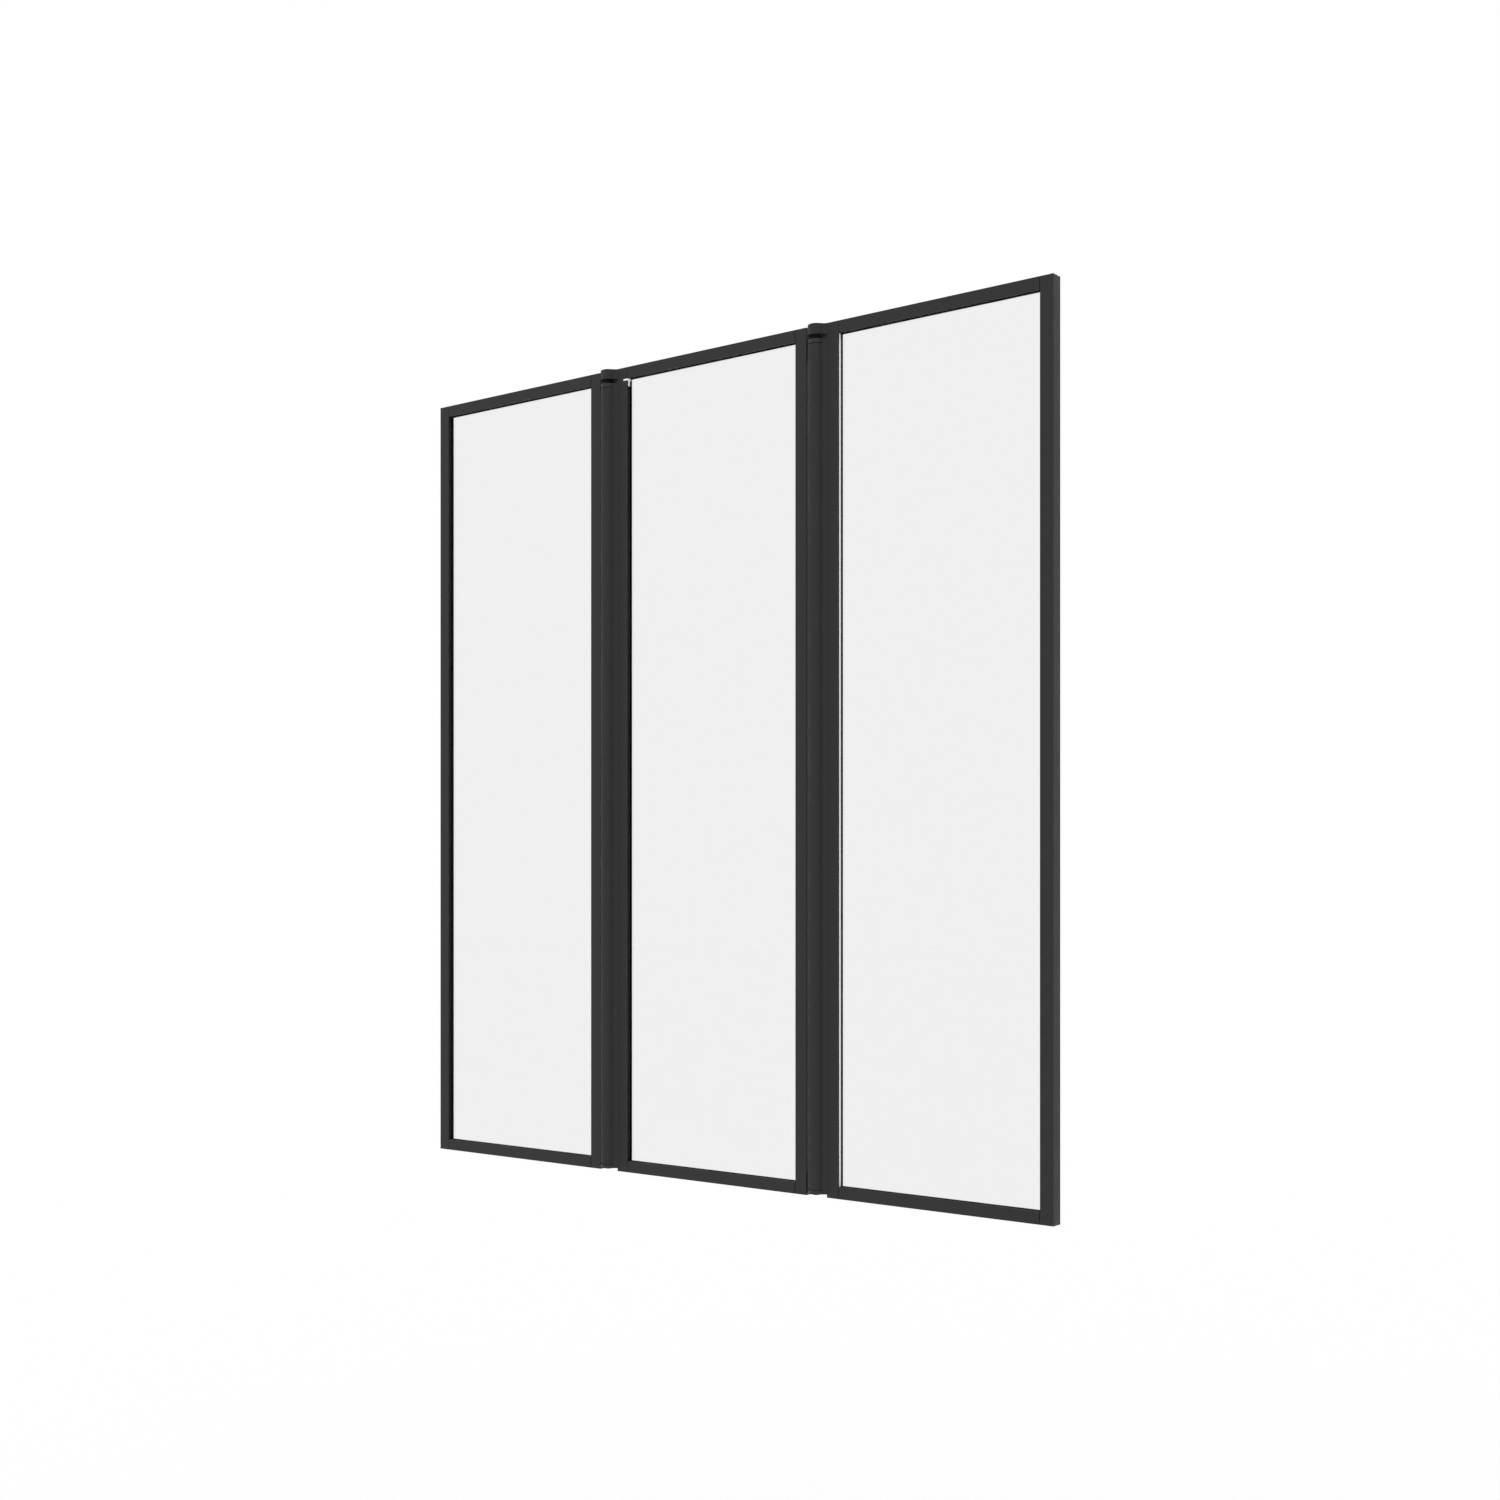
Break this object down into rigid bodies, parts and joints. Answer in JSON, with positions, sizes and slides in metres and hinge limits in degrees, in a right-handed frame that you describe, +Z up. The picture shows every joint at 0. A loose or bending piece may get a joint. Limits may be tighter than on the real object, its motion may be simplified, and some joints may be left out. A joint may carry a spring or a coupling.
{
  "type": "folding shower screen",
  "caption": "Folding bath and shower screen of clear glass panels in slim black aluminium frames, joined edge to edge by full-height round barrel hinges and fixed to the wall at one side.",
  "frame": {"origin": "on the wall face, at the middle of the wall rail (mid height, mid depth of the frame)", "axes": "+X from the wall along the screen, +Y to the back (the barrels face -Y), +Z up"},
  "size_m": [1.3, 0.0389, 1.4],
  "materials": {
    "black_aluminium": "matt black powder coat",
    "clear_glass": "clear toughened glass, polished",
    "black_rubber": "matt extruded rubber",
    "white_seal": "white flexible PVC, extruded",
    "black_plastic": "moulded, fine grain",
    "bush_plastic": "moulded acetal, satin",
    "washer_plastic": "moulded acetal, dull",
    "stainless_steel": "plain stainless steel",
    "black_steel": "black phosphated steel, dull"
  },
  "bodies": {
    "wall_panel": {"first_hinge_arm_screws": "stainless_steel", "first_hinge_lower_arm": "black_steel", "first_hinge_lower_pin": "stainless_steel", "first_hinge_upper_arm": "black_steel", "first_hinge_upper_pin": "stainless_steel", "first_hinge_washers": "washer_plastic", "wall_panel_bottom_rail": "black_aluminium", "wall_panel_corner_screws": "stainless_steel", "wall_panel_front_gasket": "black_rubber", "wall_panel_glass": "clear_glass", "wall_panel_left_stile": "black_aluminium", "wall_panel_rear_gasket": "black_rubber", "wall_panel_right_stile": "black_aluminium", "wall_panel_setting_blocks": "black_rubber", "wall_panel_side_strip": "black_rubber", "wall_panel_stile_ends": "black_plastic", "wall_panel_top_rail": "black_aluminium", "wall_rail": "black_aluminium", "wall_rail_lock_screws": "stainless_steel"},
    "middle_panel": {"first_hinge_cap": "black_aluminium", "first_hinge_cap_screw": "stainless_steel", "first_hinge_lower_bush": "bush_plastic", "first_hinge_upper_bush": "bush_plastic", "middle_panel_bottom_rail": "black_aluminium", "middle_panel_corner_screws": "stainless_steel", "middle_panel_front_gasket": "black_rubber", "middle_panel_glass": "clear_glass", "middle_panel_left_stile": "black_aluminium", "middle_panel_rear_gasket": "black_rubber", "middle_panel_right_stile": "black_aluminium", "middle_panel_setting_blocks": "black_rubber", "middle_panel_side_strip": "black_rubber", "middle_panel_stile_ends": "black_plastic", "middle_panel_strip_end": "white_seal", "middle_panel_top_rail": "black_aluminium", "second_hinge_arm_screws": "stainless_steel", "second_hinge_lower_arm": "black_steel", "second_hinge_lower_pin": "stainless_steel", "second_hinge_upper_arm": "black_steel", "second_hinge_upper_pin": "stainless_steel", "second_hinge_washers": "washer_plastic"},
    "end_panel": {"end_panel_bottom_rail": "black_aluminium", "end_panel_corner_screws": "stainless_steel", "end_panel_front_gasket": "black_rubber", "end_panel_glass": "clear_glass", "end_panel_left_stile": "black_aluminium", "end_panel_rear_gasket": "black_rubber", "end_panel_right_stile": "black_aluminium", "end_panel_screw_covers": "black_plastic", "end_panel_setting_blocks": "black_rubber", "end_panel_side_strip": "white_seal", "end_panel_stile_ends": "black_plastic", "end_panel_top_rail": "black_aluminium", "second_hinge_cap": "black_aluminium", "second_hinge_cap_screw": "stainless_steel", "second_hinge_lower_bush": "bush_plastic", "second_hinge_upper_bush": "bush_plastic"}
  },
  "joints": [
    {"name": "middle_fold", "type": "hinge", "parent": "wall_panel", "child": "middle_panel", "pos_m": [0.42667, -0.0115, 0], "axis": [0, 0, -1], "range_deg": [-75, 120]},
    {"name": "end_fold", "type": "hinge", "parent": "middle_panel", "child": "end_panel", "pos_m": [0.87333, -0.0115, 0], "axis": [0, 0, -1], "range_deg": [-75, 180]}
  ]
}
